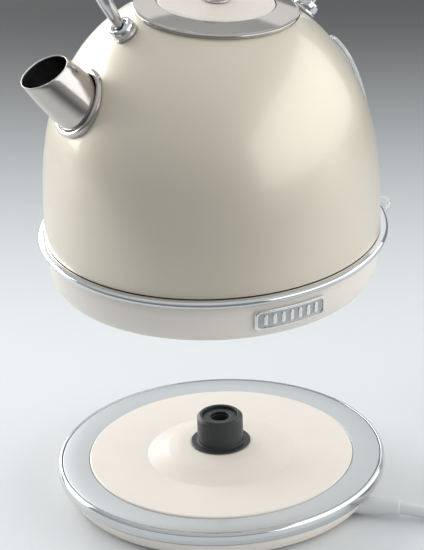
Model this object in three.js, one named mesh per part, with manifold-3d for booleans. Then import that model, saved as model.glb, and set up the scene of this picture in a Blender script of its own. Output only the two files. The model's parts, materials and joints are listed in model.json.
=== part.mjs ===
// A cordless dome kettle held above its round power base. Millimetres, +Z up.
// Origin: on the floor, on the common axis of the base and the kettle.
// Spout towards -X, name plate towards -Y, water gauge and switch lever towards +X.

import * as THREE from "three";
import { mergeVertices } from "three/addons/utils/BufferGeometryUtils.js";
import Module from "manifold-3d";

const wasm = await Module();
wasm.setup();

// ---------- driving dimensions ----------

const GAP = 0.3; // left between pieces that touch
const RAD = Math.PI / 180;

const BASE_R = 92.5; // outside of the chrome rim of the base
const STEEL_TOP = 20; // plane of the steel ring that the kettle stands on
const STEEL_INNER_R = 74.7;
const TOWER_R = 12.9;
const TOWER_TOP = 45.3;
const CONTACT_BORE_R = 4.9;

const LIFT = 114; // how far the kettle hovers above its seat
const SEATED_Z = 46; // chrome trim ring's middle plane when the kettle is seated
const RING_R = 96.2;
const SKIRT_R = 91;
const SKIRT_BOTTOM = -25.3;

const BODY_R = 92.2; // dome's outside at its foot
const BODY_FOOT = 2.6;
const DOME_R = 85.9; // spherical upper part of the dome
const DOME_C = 53.7; // its centre above the trim ring
const DOME_START = 58 * RAD; // from the vertical, where the spherical part begins
const WALL = 1.0;

const TOP_TILT = 5 * RAD; // lid, neck and handle lean to the rear about the dome's centre
const OPENING_R = 40.9;
const LUG_POLAR = 38 * RAD;
const GRIP_Z = 146; // grip's axis above the dome's centre
const GRIP_HALF = 62;
const ARM_R = 4;
const ARM_END_R = 2.8; // where it enters the lug

// Spout: where its root's axis leaves the dome, and its mouth, both from the dome's centre.
const SPOUT_ROOT = { x: -76.6, z: 38.9, rise: 32.6 * RAD };
const SPOUT_ROOT_R = 15.9;
const SPOUT_WALL = 0.8;
const MOUTH = { x: -94.9, z: 60.2, a: 14, b: 12.8, rise: 65.2 * RAD };

const GAUGE_HALF = 11;
const GAUGE_BOTTOM = 14;
const GAUGE_TOP = 96;
const WINDOW_OUT = 4.2; // how far the window stands out of the dome
const WINDOW_SIDE = 2.4; // width of its side walls
const LEVER_ROOT = 87.6; // the switch lever's two ends, from the kettle's axis
const LEVER_TIP = 110.8;

// Sides of the turned pieces. Pieces that nest share one count, so that their flats line up.
const DOME_SIDES = 40;
const WIDE = 32;
const MEDIUM = 24;
const SMALL = 16;
const TINY = 10;

const CORD_R = 3.5;
const CORD_EXIT = [48.2, -68.2, 6.6];
const CORD_HEADING = -40; // degrees from +X, seen from above
const RELIEF_R = 5;
const RELIEF_LENGTH = 26;
const COIL = { x: 144.8, y: -84.2, inner: 30.9, outer: 45.4, top: 13.8 };

// ---------- materials ----------

function finish(color, roughness, metalness) {
  return new THREE.MeshStandardMaterial({ color, roughness, metalness });
}

const PEARL = finish(0xd9d2c3, 0.28, 0.35);
const CHROME = finish(0xdadcde, 0.06, 1);
const STEEL = finish(0xb9bcbd, 0.25, 1);
const IVORY = finish(0xf1e9dc, 0.25, 0);
const BLACK = finish(0x1d1e20, 0.45, 0);
const CLEAR = finish(0xe8eef0, 0.05, 0);
const RUBBER = finish(0x2a2a2b, 0.8, 0);
const SILICONE = finish(0xd8d8d4, 0.6, 0);
const BRASS = finish(0xc9a85a, 0.3, 1);
const ALUMINIUM = finish(0xa9abad, 0.4, 1);
const CORD = finish(0xe4e4e0, 0.5, 0);

// ---------- geometry helpers ----------

function volumeOf(geometry) {
  const p = geometry.attributes.position;
  const index = geometry.index;
  const corners = [new THREE.Vector3(), new THREE.Vector3(), new THREE.Vector3()];
  let sum = 0;
  for (let i = 0; i < index.count; i += 3) {
    corners.forEach((corner, k) => corner.fromBufferAttribute(p, index.getX(i + k)));
    sum += corners[0].dot(corners[1].clone().cross(corners[2]));
  }
  return sum / 6;
}

// Shared vertices merged, and every face turned outwards.
function closed(geometry) {
  const plain = geometry.clone();
  plain.deleteAttribute("normal");
  plain.deleteAttribute("uv");
  const merged = mergeVertices(plain, 1e-4);
  if (volumeOf(merged) < 0) {
    const index = merged.index;
    for (let i = 0; i < index.count; i += 3) {
      const second = index.getX(i + 1);
      index.setX(i + 1, index.getX(i + 2));
      index.setX(i + 2, second);
    }
  }
  return merged;
}

function solid(geometry) {
  const merged = closed(geometry);
  return new wasm.Manifold(
    new wasm.Mesh({
      numProp: 3,
      vertProperties: Float32Array.from(merged.attributes.position.array),
      triVerts: Uint32Array.from(merged.index.array),
    }),
  );
}

function geometryOf(shape) {
  const mesh = shape.getMesh();
  const geometry = new THREE.BufferGeometry();
  geometry.setAttribute("position", new THREE.BufferAttribute(mesh.vertProperties, 3));
  geometry.setIndex(new THREE.BufferAttribute(mesh.triVerts, 1));
  return geometry;
}

function cut(geometry, ...tools) {
  let shape = solid(geometry);
  for (const tool of tools) shape = shape.subtract(solid(tool));
  return geometryOf(shape);
}

function join(first, ...others) {
  let shape = solid(first);
  for (const other of others) shape = shape.add(solid(other));
  return geometryOf(shape);
}

function clip(geometry, tool) {
  return geometryOf(solid(geometry).intersect(solid(tool)));
}

// A turned body about Z. The profile is a list of [radius, z]. It closes on itself unless both of its
// ends lie on the axis.
function turned(profile, segments = WIDE) {
  const points = profile.map(([r, z]) => new THREE.Vector2(r, z));
  const onAxis = profile[0][0] === 0 && profile[profile.length - 1][0] === 0;
  if (!onAxis) points.push(points[0].clone());
  return closed(new THREE.LatheGeometry(points, segments).rotateX(Math.PI / 2));
}

function disc(radius, bottom, top, segments = SMALL) {
  return closed(
    new THREE.CylinderGeometry(radius, radius, top - bottom, segments)
      .rotateX(Math.PI / 2)
      .translate(0, 0, (bottom + top) / 2),
  );
}

function roundedRect(halfX, halfY, radius) {
  const shape = new THREE.Shape();
  shape.moveTo(halfX - radius, -halfY);
  shape.absarc(halfX - radius, -halfY + radius, radius, -Math.PI / 2, 0);
  shape.absarc(halfX - radius, halfY - radius, radius, 0, Math.PI / 2);
  shape.absarc(-halfX + radius, halfY - radius, radius, Math.PI / 2, Math.PI);
  shape.absarc(-halfX + radius, -halfY + radius, radius, Math.PI, 1.5 * Math.PI);
  return shape;
}

function circleHole(radius, x = 0, y = 0) {
  return new THREE.Path().absarc(x, y, radius, 0, 2 * Math.PI);
}

// A flat shape in XY, thickened from z = bottom to z = top.
function plate(shape, bottom, top, curveSegments = 8) {
  const options = { depth: top - bottom, bevelEnabled: false, curveSegments };
  return closed(new THREE.ExtrudeGeometry(shape, options).translate(0, 0, bottom));
}

// A round bar along a smooth line through the points.
function bar(points, radius, sides, steps) {
  const path = new THREE.CatmullRomCurve3(points.map((p) => new THREE.Vector3(...p)));
  const section = new THREE.Shape().absarc(0, 0, radius, 0, 2 * Math.PI);
  const options = { steps, extrudePath: path, curveSegments: sides / 2 };
  return closed(new THREE.ExtrudeGeometry(section, options));
}

// A round bar along a smooth line in the XZ plane. Its radii are evenly spaced along it.
function taperedBar(points, radii, sides) {
  const path = new THREE.CatmullRomCurve3(points.map(([x, z]) => new THREE.Vector3(x, 0, z)));
  const levels = radii.map((r, i) => [r, i / (radii.length - 1)]);
  const geometry = turned([[0, 0], ...levels, [0, 1]], sides);
  const p = geometry.attributes.position;
  for (let i = 0; i < p.count; i++) {
    const along = THREE.MathUtils.clamp(p.getZ(i), 0, 1);
    const centre = path.getPointAt(along);
    const forwards = path.getTangentAt(along);
    const [across, side] = [p.getX(i), p.getY(i)];
    p.setXYZ(i, centre.x + across * forwards.z, side, centre.z - across * forwards.x);
  }
  return closed(geometry);
}

// Joins rings of points into the wall of a tube: outer rings forwards, then inner rings back.
function wallOf(rings) {
  const count = rings[0].length;
  const index = [];
  for (let ring = 0; ring < rings.length; ring++) {
    const next = (ring + 1) % rings.length;
    for (let i = 0; i < count; i++) {
      const j = (i + 1) % count;
      const [a, b] = [ring * count + i, ring * count + j];
      const [c, d] = [next * count + i, next * count + j];
      index.push(a, b, d, a, d, c);
    }
  }
  const geometry = new THREE.BufferGeometry();
  geometry.setAttribute(
    "position",
    new THREE.Float32BufferAttribute(rings.flat().flatMap((p) => p.toArray()), 3),
  );
  geometry.setIndex(index);
  return closed(geometry);
}

function polar(radius, degrees, z = 0) {
  return [radius * Math.cos(degrees * RAD), radius * Math.sin(degrees * RAD), z];
}

function add(group, name, geometry, material, place = [0, 0, 0]) {
  const mesh = new THREE.Mesh(geometry, material);
  mesh.name = name;
  mesh.position.set(...place);
  group.add(mesh);
  return mesh;
}

// ---------- the dome's outline ----------

// [radius, z] from the foot to the crown, moved outwards along the normal by offset.
function domeOutline(offset, footSteps = 6, crownSteps = 7) {
  const start = new THREE.Vector2(BODY_R, BODY_FOOT);
  const end = new THREE.Vector2(
    DOME_R * Math.sin(DOME_START),
    DOME_C + DOME_R * Math.cos(DOME_START),
  );
  const rise = end.y - start.y;
  const along = new THREE.Vector2(-Math.cos(DOME_START), Math.sin(DOME_START));
  const foot = new THREE.CubicBezierCurve(
    start,
    start.clone().add(new THREE.Vector2(0, 0.5 * rise)),
    end.clone().addScaledVector(along, -0.33 * rise),
    end,
  );
  const outline = [];
  for (let i = 0; i < footSteps; i++) {
    const p = foot.getPoint(i / footSteps);
    const t = foot.getTangent(i / footSteps);
    outline.push([p.x + offset * t.y, p.y - offset * t.x]);
  }
  for (let i = 0; i <= crownSteps; i++) {
    const polarAngle = DOME_START * (1 - i / crownSteps);
    const r = DOME_R + offset;
    outline.push([i === crownSteps ? 0 : r * Math.sin(polarAngle), DOME_C + r * Math.cos(polarAngle)]);
  }
  return outline;
}

// A skin that follows the dome, from one offset to another.
function domeSkin(inner, outer) {
  return turned([...domeOutline(inner).reverse(), ...domeOutline(outer)], DOME_SIDES);
}

// Puts a shape made about Z onto an axis through (x, 0, z) from the dome's centre, leaning by angle.
function leaning(geometry, angle, x = 0, z = 0) {
  return geometry.clone().rotateY(angle).translate(x, 0, DOME_C + z);
}

// ---------- power base ----------

function addBase(base) {
  const bottomCover = [
    [0, 1.6], [82, 1.6], [84.8, 3], [87.9, 7.4], [90.2, 11.8],
    [88, 11.8], [85.8, 8], [82.6, 4.2], [0, 4.2],
  ];
  const cordHole = disc(RELIEF_R + GAP, -10, RELIEF_LENGTH)
    .rotateY(Math.PI / 2)
    .rotateZ(CORD_HEADING * RAD)
    .translate(...CORD_EXIT);
  add(base, "base_bottom_cover", cut(turned(bottomCover, WIDE), cordHole), IVORY);

  const rim = [
    [88.9, 12.2], [91.2, 12.2], [92.2, 13.4], [BASE_R, 16.2], [92.1, 18.6],
    [91.1, 20], [90.1, 20.2], [89.9, 18.4], [88.9, 18.2],
  ];
  add(base, "base_chrome_rim", turned(rim, WIDE), CHROME);

  const steel = [
    [STEEL_INNER_R, STEEL_TOP - 1.4], [89.5, STEEL_TOP - 1.4],
    [89.5, STEEL_TOP], [STEEL_INNER_R, STEEL_TOP],
  ];
  add(base, "base_steel_ring", turned(steel, WIDE), STEEL);

  const topCover = [
    [13.4, 25.8], [31, 23.2], [39, 19.2], [72.6, 18], [72.6, 16], [88.4, 16], [88.4, 18.2],
    [74.3, 18.2], [74.3, 20.4], [73.6, 20.9], [41.4, 21.4], [38, 22.5],
    [33, 24.2], [29.5, 25.5], [24, 26.9], [17.6, 28], [13.4, 28],
  ];
  add(base, "base_top_cover", turned(topCover, WIDE), IVORY);

  const tower = [
    [CONTACT_BORE_R, 4.6], [TOWER_R, 4.6], [TOWER_R, 28.3], [16.8, 28.3], [16.8, 28.8],
    [16.3, 29.2], [TOWER_R, 29.2], [TOWER_R, TOWER_TOP - 1.5], [11.4, TOWER_TOP],
    [9.9, TOWER_TOP], [9.9, 42.4], [CONTACT_BORE_R, 42.4],
  ];
  add(base, "connector_tower", turned(tower, MEDIUM), BLACK);

  const pin = [[0, 4.6], [4.4, 4.6], [4.4, 14], [1.7, 14], [1.7, 37.4], [0, 38.4]];
  add(base, "contact_pin", turned(pin, TINY), BRASS);

  for (let i = 0; i < 4; i++) {
    add(base, `base_foot_${i + 1}`, disc(6, 0, 1.3), RUBBER, polar(70, 45 + 90 * i));
  }
  for (let i = 0; i < 3; i++) {
    add(base, `base_screw_${i + 1}`, disc(3, 0.6, 1.3, TINY), STEEL, polar(48, 30 + 120 * i));
  }
}

// Floats in the tower's top and turns with the kettle's centre contact.
function addShutter(base) {
  const shutter = [[5.3, 42.8], [9.5, 42.8], [9.5, 43.9], [5.3, 43.9]];
  add(base, "connector_shutter", turned(shutter, MEDIUM), BLACK);
}

// ---------- cord ----------

const LEAD_IN = [
  [68.6, -85.3, 6.6], [74.7, -90.4, 5.8], [82.3, -96.2, 4.4], [91, -101.9, 3.7], [101.5, -108.1, 3.7],
];
const LEAD_OUT = [
  [193.2, -72.8, 9.6], [196.9, -59, 8.2], [198.5, -45.4, 8.1],
];

function addCord(base) {
  const relief = new THREE.Group();
  relief.position.set(...CORD_EXIT);
  relief.rotation.z = CORD_HEADING * RAD;
  base.add(relief);
  const taper = [
    [0, 0], [RELIEF_R, 0], [RELIEF_R - 0.1, 6], [4.3, RELIEF_LENGTH - 1], [4, RELIEF_LENGTH],
    [0, RELIEF_LENGTH],
  ];
  add(relief, "cord_strain_relief", turned(taper, SMALL).rotateY(Math.PI / 2), CORD);

  add(base, "cord_tube_in", bar(LEAD_IN, CORD_R, 8, 6), CORD);
  add(base, "cord_tube_out", bar(LEAD_OUT, CORD_R, 8, 4), CORD);

  const ring = [[COIL.inner, 0.1], [COIL.outer, 0.1], [COIL.outer, COIL.top], [COIL.inner, COIL.top]];
  add(base, "cord_coil", turned(ring, WIDE), CORD, [COIL.x, COIL.y, 0]);
}

function addPlug(base) {
  const plug = new THREE.Group();
  plug.position.set(198.7, -43.9, 8.4);
  plug.rotation.set(0, -13 * RAD, 92 * RAD, "ZYX");
  base.add(plug);
  const body = [
    [0, 0], [4.6, 0], [5.4, 12], [7.6, 20], [11.5, 25], [15.6, 30], [17.8, 35], [18.3, 42],
    [17.8, 50], [16.8, 52], [0, 52],
  ];
  add(plug, "plug_body", turned(body, 20).rotateY(Math.PI / 2), CORD);
  const pin = [[0, 52.3], [2.4, 52.3], [2.4, 69.5], [1.4, 71], [0, 71]];
  [-9.5, 9.5].forEach((y, i) => {
    add(plug, `plug_pin_${i + 1}`, turned(pin, TINY).rotateY(Math.PI / 2), STEEL, [0, y, 0]);
  });
}

// ---------- kettle: body and underside ----------

function addBody(kettle) {
  const opening = leaning(disc(OPENING_R, 40, 100, MEDIUM), TOP_TILT);
  const spoutHole = leaning(
    disc(SPOUT_ROOT_R + 0.8, -20, 20, MEDIUM),
    SPOUT_ROOT.rise - Math.PI / 2,
    SPOUT_ROOT.x,
    SPOUT_ROOT.z,
  );
  const slot = plate(roundedRect(32, 4.5, 4), 60, 110, 4)
    .rotateY(Math.PI / 2)
    .translate(0, 0, (GAUGE_BOTTOM + GAUGE_TOP) / 2);
  add(kettle, "body_shell", cut(domeSkin(-WALL, 0), opening, spoutHole, slot), PEARL);
}

function gaugeOutline(margin) {
  const half = (GAUGE_TOP - GAUGE_BOTTOM) / 2;
  return plate(roundedRect(half - margin, GAUGE_HALF - margin, GAUGE_HALF - margin - 0.5), 50, 120, 6)
    .rotateY(Math.PI / 2)
    .translate(0, 0, (GAUGE_BOTTOM + GAUGE_TOP) / 2);
}

function addGauge(kettle) {
  const sealOpening = gaugeOutline(3.2);
  add(kettle, "window_seal", cut(clip(domeSkin(0.35, 1.3), gaugeOutline(0)), sealOpening), SILICONE);
  const pocket = clip(domeSkin(1, WINDOW_OUT - 1), gaugeOutline(WINDOW_SIDE));
  const window = clip(domeSkin(1.6, WINDOW_OUT), gaugeOutline(0));
  add(kettle, "level_window", cut(window, pocket), CLEAR);
}

function addFoot(kettle) {
  const ring = [
    [88.9, -2.3], [94.6, -2.4], [95.9, -1.5], [RING_R, -0.2], [95.9, 0.9], [95, 1.7],
    [93.2, 2.1], [88.9, 2.2],
  ];
  add(kettle, "chrome_trim_ring", turned(ring, WIDE), CHROME);

  const skirt = [
    [88.2, -2.7], [SKIRT_R, -2.7], [SKIRT_R, -9], [90.4, -16], [89, -21.4], [86.9, -24.5],
    [84.6, SKIRT_BOTTOM], [82.7, SKIRT_BOTTOM], [82.7, -23.9], [85.3, -22.4], [87.4, -16], [88.2, -9],
  ];
  const notch = new THREE.BoxGeometry(16, 19, 18).translate(91, 0, -9.6);
  add(kettle, "skirt", cut(turned(skirt, WIDE), notch), IVORY);

  const bottomCover = [
    [18, -16], [42.5, -16], [46, -23.6], [82.3, -23.6], [82.3, -21.8], [47.2, -21.8],
    [43.6, -14.2], [18, -14.2],
  ];
  add(kettle, "bottom_cover", turned(bottomCover, WIDE), IVORY);
  for (let i = 0; i < 3; i++) {
    add(kettle, `bottom_screw_${i + 1}`, disc(2.8, -17.3, -16.3, TINY), STEEL, polar(34, 90 + 120 * i));
  }
}

function addNamePlate(kettle) {
  const band = [[91.4, -4], [93, -4], [92.7, -12], [91.9, -19.6], [90.3, -19.6], [91.1, -12]];
  const outline = plate(roundedRect(21, 6, 2.2), 80, 100, 4)
    .rotateX(Math.PI / 2)
    .translate(0, 0, -13);
  add(kettle, "name_plate", clip(turned(band, 72), outline), STEEL);
}

function addHeater(kettle) {
  const tubeHole = disc(4.2, 0, 20, TINY).translate(64, -22, 0);
  add(kettle, "heater_plate", cut(disc(88.4, 6, 7.2, WIDE), tubeHole), STEEL);
  const seal = [[88.7, 4.8], [90.8, 4.8], [90.8, 8.4], [88.7, 8.4]];
  add(kettle, "plate_seal", turned(seal, WIDE), SILICONE);

  const elementR = 52;
  const element = [];
  for (let angle = 20; angle <= 340; angle += 20) element.push(polar(elementR, angle, 2));
  add(kettle, "heating_element", bar(element, 3.4, 8, 20), ALUMINIUM);

  const control = roundedRect(30, 20, 4);
  control.holes.push(circleHole(16.2));
  add(kettle, "thermostat_control", plate(control, -12.5, -2.6), BLACK);
}

function addSocket(kettle) {
  const socket = [
    [0, 2.4], [15.8, 2.4], [15.8, -13.6], [17.4, -13.6], [17.4, -15], [14.2, -15],
    [14.2, 1], [0, 1],
  ];
  add(kettle, "connector_socket", turned(socket, MEDIUM), BLACK);
  const sleeve = [[2.6, 0.6], [4.1, 0.6], [4.1, -3.2], [2.6, -3.2]];
  add(kettle, "socket_contact", turned(sleeve, SMALL), BRASS);
}

function addSteamPath(kettle) {
  const tube = [[2.6, -4], [3.6, -4], [3.6, 86], [2.6, 86]];
  add(kettle, "steam_tube", turned(tube, TINY), SILICONE, [64, -22, 0]);
  const housing = plate(roundedRect(7, 11, 2), -17, 3, 3);
  add(kettle, "switch_housing", housing, BLACK, [78, 0, 0]);
}

// ---------- kettle: spout and filter ----------

function ellipseRing(centre, rise, a, b, count = MEDIUM) {
  const upwards = new THREE.Vector3(Math.sin(rise), 0, Math.cos(rise));
  const sideways = new THREE.Vector3(0, 1, 0);
  return Array.from({ length: count }, (_, i) => {
    const angle = (2 * Math.PI * i) / count;
    return centre
      .clone()
      .addScaledVector(upwards, a * Math.cos(angle))
      .addScaledVector(sideways, b * Math.sin(angle));
  });
}

function spoutRings(inset) {
  const { x, z, rise } = SPOUT_ROOT;
  const root = (along) =>
    new THREE.Vector3(x - along * Math.cos(rise), 0, z + along * Math.sin(rise));
  const r = SPOUT_ROOT_R - inset;
  return [
    ellipseRing(root(-5), rise, r, r),
    ellipseRing(root(1.9), rise, r, r),
    ellipseRing(new THREE.Vector3(MOUTH.x, 0, MOUTH.z), MOUTH.rise, MOUTH.a - inset, MOUTH.b - inset),
  ];
}

function addSpout(kettle) {
  const tube = wallOf([...spoutRings(0), ...spoutRings(SPOUT_WALL).reverse()]);
  add(kettle, "spout_tube", tube, STEEL, [0, 0, DOME_C]);

  // A rolled ring whose underside follows the dome.
  const collar = leaning(
    turned(
      [
        [16.2, -3.6], [19.6, -3.6], [19.7, -0.2], [19.3, 0.7], [18.4, 1.3], [17.3, 1.3],
        [16.5, 0.9], [16.2, 0.2],
      ],
      MEDIUM,
    ),
    SPOUT_ROOT.rise - Math.PI / 2,
    SPOUT_ROOT.x,
    SPOUT_ROOT.z,
  );
  add(kettle, "spout_collar", cut(collar, domeSkin(-6, GAP)), STEEL);

  const root = new THREE.Group();
  root.position.set(SPOUT_ROOT.x, 0, DOME_C + SPOUT_ROOT.z);
  root.rotation.y = SPOUT_ROOT.rise - Math.PI / 2;
  kettle.add(root);
  const frame = roundedRect(18, 17, 5);
  frame.holes.push(circleHole(14.5));
  add(root, "filter_frame", plate(frame, -12, -9), IVORY);
  add(root, "filter_mesh", disc(14.2, -10.9, -10.1, SMALL), STEEL);
}

// ---------- kettle: handle ----------

function addHandle(top) {
  const lug = [
    [0, 86.3], [7.1, 86.3], [7.2, 87], [6.6, 87.7], [7, 89.6], [6.7, 91.6], [5.6, 92.8], [4.4, 92.6],
    [3.9, 91.6], [3.9, 90.6], [0, 90.6],
  ];
  const arm = [
    [56.5, 71.7], [61, 79.2], [65.5, 86.7], [70.3, 94.6], [75.5, 104], [79, 114.5], [80.6, 125],
    [78.9, 135.2], [73.8, 142.9], [68, 145.8], [GRIP_HALF + 0.6, GRIP_Z],
  ];
  const radii = [ARM_END_R, (ARM_END_R + ARM_R) / 2, ...Array(11).fill(ARM_R)];
  for (const [side, name] of [[-1, "front"], [1, "rear"]]) {
    const lugMesh = add(top, `${name}_lug`, turned(lug, SMALL), CHROME);
    lugMesh.rotation.y = side * LUG_POLAR;
    const path = arm.map(([x, z]) => [side * x, z]);
    add(top, `${name}_handle_arm`, taperedBar(path, radii, TINY), CHROME);
  }

  const grip = new THREE.Group();
  grip.position.z = GRIP_Z;
  top.add(grip);
  const swell = [];
  const half = GRIP_HALF;
  for (let i = 0; i <= 8; i++) {
    const along = -half + (2 * half * i) / 8;
    swell.push([5.6 + 5.2 * Math.sqrt(Math.max(0, 1 - (along / (half + 2)) ** 2)), along]);
  }
  const whole = turned([[0, -half], ...swell, [0, half]], SMALL).rotateY(Math.PI / 2);
  const above = new THREE.BoxGeometry(140, 40, 40).translate(0, 0, 20 + GAP / 2);
  const below = new THREE.BoxGeometry(140, 40, 40).translate(0, 0, -20 - GAP / 2);
  const pockets = [-38, 38].map((x) => disc(2.9, -20, -6.2, TINY).translate(x, 0, 0));
  add(grip, "grip_upper", clip(whole, above), IVORY);
  add(grip, "grip_lower", cut(clip(whole, below), ...pockets), IVORY);
  [-38, 38].forEach((x, i) => {
    add(grip, `grip_screw_${i + 1}`, disc(2.5, -8.2, -6.5, TINY), STEEL, [x, 0, 0]);
  });
}

// ---------- kettle: neck and lid ----------

function addNeck(top) {
  const neck = [[39.2, 58], [40.5, 58], [40.5, 75], [39.9, 75.6], [39.2, 75.6]];
  add(top, "neck_ring", turned(neck, MEDIUM), STEEL);
}

function addLid(top) {
  const ring = [
    [32.4, 79.4], [43.6, 76.4], [44.4, 76.5], [45.2, 75.9], [45.4, 75.1], [44.9, 74.3],
    [44, 74.15], [43.2, 74.6], [42.8, 75.5], [32.4, 78.4],
  ];
  add(top, "lid_ring", turned(ring, MEDIUM), STEEL);
  const centre = [
    [0, 80.4], [20, 80.2], [29, 79.8], [31.6, 79.3], [32, 78.6], [32, 77.2], [30, 76.6], [0, 76.6],
  ];
  add(top, "lid_centre", turned(centre, MEDIUM), IVORY);
  const cup = [[0, 75.8], [36, 75.8], [37.6, 74.8], [37.6, 62], [36.4, 62], [36.4, 73.8], [0, 73.8]];
  add(top, "lid_inner_cup", turned(cup, MEDIUM), STEEL);
  const seal = [[37.9, 66], [38.8, 66.6], [38.8, 68.4], [37.9, 69]];
  add(top, "lid_seal", turned(seal, MEDIUM), SILICONE);
  const stem = [[0, 80.8], [7.5, 80.8], [7.6, 81.5], [4.6, 82.8], [3.4, 85.5], [3.6, 89], [0, 89]];
  add(top, "knob_stem", turned(stem, SMALL), CHROME);
  const knob = [
    [0, 89.3], [5, 89.3], [10.2, 91.6], [12.8, 95.2], [12.6, 98.8], [9.8, 102], [5, 103.7], [0, 104],
  ];
  add(top, "lid_knob", turned(knob, 20), IVORY);
}

// ---------- kettle: switch ----------

// A flat tongue that sticks out to the rear and has a round end.
function tongue(root, reach, half, bottom, top) {
  const shape = new THREE.Shape();
  shape.moveTo(root, -half);
  shape.absarc(reach - half, 0, half, -Math.PI / 2, Math.PI / 2);
  shape.lineTo(root, half);
  return plate(shape, bottom, top);
}

function addSwitch(kettle) {
  add(kettle, "switch_lever", tongue(LEVER_ROOT, LEVER_TIP, 8, -9.7, -6.8), CLEAR);
  const ridges = join(
    tongue(LEVER_ROOT + 2, LEVER_TIP - 4, 5.2, -17, -10.1),
    tongue(LEVER_ROOT + 2, LEVER_TIP - 1.1, 7.2, -12.2, -10),
    tongue(LEVER_ROOT + 2, LEVER_TIP - 2.4, 6.4, -14.8, -12.9),
  );
  add(kettle, "switch_trim", ridges, CHROME);
}

// ---------- the whole object ----------

const electricKettle = new THREE.Group();

const base = new THREE.Group();
electricKettle.add(base);
addBase(base);
addShutter(base);
addCord(base);
addPlug(base);

const kettle = new THREE.Group();
kettle.position.z = SEATED_Z + LIFT;
electricKettle.add(kettle);
addBody(kettle);
addGauge(kettle);
addFoot(kettle);
addNamePlate(kettle);
addHeater(kettle);
addSocket(kettle);
addSteamPath(kettle);
addSpout(kettle);
addSwitch(kettle);

const top = new THREE.Group();
top.position.z = DOME_C;
top.rotation.y = TOP_TILT;
kettle.add(top);
addNeck(top);
addHandle(top);
addLid(top);

export default electricKettle;
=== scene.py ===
"""An electric kettle held above its power base: fine surfaces, finishes, light and camera.

Lengths are millimetres, apart from names that end in _m or _M and what a comment gives in metres.
Angles are degrees.
"""

import json
import math

import bmesh
import bpy
from mathutils import Matrix, Vector


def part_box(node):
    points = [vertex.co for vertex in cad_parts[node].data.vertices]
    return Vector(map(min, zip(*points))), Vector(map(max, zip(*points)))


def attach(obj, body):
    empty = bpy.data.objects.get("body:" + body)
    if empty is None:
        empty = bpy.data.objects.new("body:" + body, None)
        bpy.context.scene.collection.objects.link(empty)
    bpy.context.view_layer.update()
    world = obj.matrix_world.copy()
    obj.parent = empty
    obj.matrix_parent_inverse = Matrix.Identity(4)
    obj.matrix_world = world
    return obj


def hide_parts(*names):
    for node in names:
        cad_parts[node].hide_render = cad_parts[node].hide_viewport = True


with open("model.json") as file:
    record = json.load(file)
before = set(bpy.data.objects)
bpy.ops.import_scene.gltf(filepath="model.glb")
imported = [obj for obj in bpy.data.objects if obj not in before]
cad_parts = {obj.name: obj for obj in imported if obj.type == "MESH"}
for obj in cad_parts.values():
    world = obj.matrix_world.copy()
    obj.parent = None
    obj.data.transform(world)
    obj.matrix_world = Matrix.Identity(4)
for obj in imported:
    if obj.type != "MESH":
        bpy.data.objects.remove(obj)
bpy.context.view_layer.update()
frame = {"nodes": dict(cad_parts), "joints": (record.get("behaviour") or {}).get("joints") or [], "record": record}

MM = 0.001
RIM_STEPS = 192          # faces round a wide turned piece
KNOB_STEPS = 64          # faces round a small one
SMALL_STEPS = 48         # and round a screw, a foot or a thin tube
DOME_STEPS = 256         # faces round the dome
SHARP = 30               # an edge sharper than this stays an edge
BEVEL_FROM = 35          # an edge sharper than this is rounded by softened()
NEARLY_STRAIGHT = 89.5   # half the angle of a corner too flat to round
SIDE_SHARE = 0.48        # the most of a side that one rounded corner takes

BODY_OF = {node: body for body, nodes in frame["record"]["behaviour"]["bodies"].items() for node in nodes}
JOINTS = {joint["name"]: joint for joint in frame["joints"]}


# ---------- driving dimensions, as in the CAD, and places read from the frame ----------

TRIM_TOP = 2.2           # top of the chrome trim ring above its middle plane
DOME_CENTRE = 53.7       # centre of the dome's sphere above that plane
DOME_R = 85.9
DOME_START = 58          # angle from the vertical at which the sphere begins
BODY_R = 92.2
BODY_FOOT = 2.6
FOOT_PULL = 0.5          # shares of the rise over which the foot's curve holds its direction,
CROWN_PULL = 0.33        # from the foot up and from the sphere down
FOOT_STEPS = 48
CROWN_STEPS = 72
WALL = 1.0
OPENING_R = 40.9         # the lid's opening
LUG_POLAR = 38
GRIP_Z = 146
GRIP_HALF = 62
GRIP_END_R = 5.6
GRIP_SWELL = 5.2         # how much thicker the grip is in its middle
GRIP_SCREWS = (-38, 38)
SPOUT_ROOT = Vector((-76.6, 0, 38.9))
SPOUT_ROOT_R = 15.9
SPOUT_WALL = 0.8
ROOT_CLEARANCE = 0.8     # between the spout's root and its hole in the dome
MOUTH = Vector((-94.9, 0, 60.2))
MOUTH_HALF = (14, 12.8)
MOUTH_RISE = 65.2
GAUGE_HALF = 11
GAUGE_SPAN = (14, 96)
SLOT_HALF = (32, 4.5)    # the slot in the dome behind the gauge
SLOT_CORNER = 4.2

ring_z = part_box("chrome_trim_ring")[1].z / MM - TRIM_TOP
lid_axis = JOINTS["lid_lift"]["axis"]
filter_axis = JOINTS["filter_pull"]["axis"]
spout_rise = math.degrees(math.atan2(-filter_axis[2], filter_axis[0]))


def turn(degrees, axis):
    return Matrix.Rotation(math.radians(degrees), 4, axis)


FLOOR = Matrix.Identity(4)
KETTLE = Matrix.Translation((0, 0, ring_z))
DOME = Matrix.Translation((0, 0, ring_z + DOME_CENTRE))
TOP = DOME @ turn(math.degrees(math.atan2(lid_axis[0], lid_axis[2])), "Y")
SPOUT = DOME @ Matrix.Translation(SPOUT_ROOT) @ turn(spout_rise - 90, "Y")
GRIP = TOP @ Matrix.Translation((0, 0, GRIP_Z))
STEAM_TUBE = KETTLE @ Matrix.Translation((64, -22, 0))


# ---------- camera ----------

CAMERA_AZIMUTH = -26
CAMERA_PLACE_M = 1.8037  # from the kettle's axis, over the ground
CAMERA_HEIGHT_M = 1.00424
CAMERA_PITCH = 25.805    # downwards
CAMERA_YAW = 0.044       # to the left
CAMERA_ROLL = -2.145
CAMERA_LENS = 237.5


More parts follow.
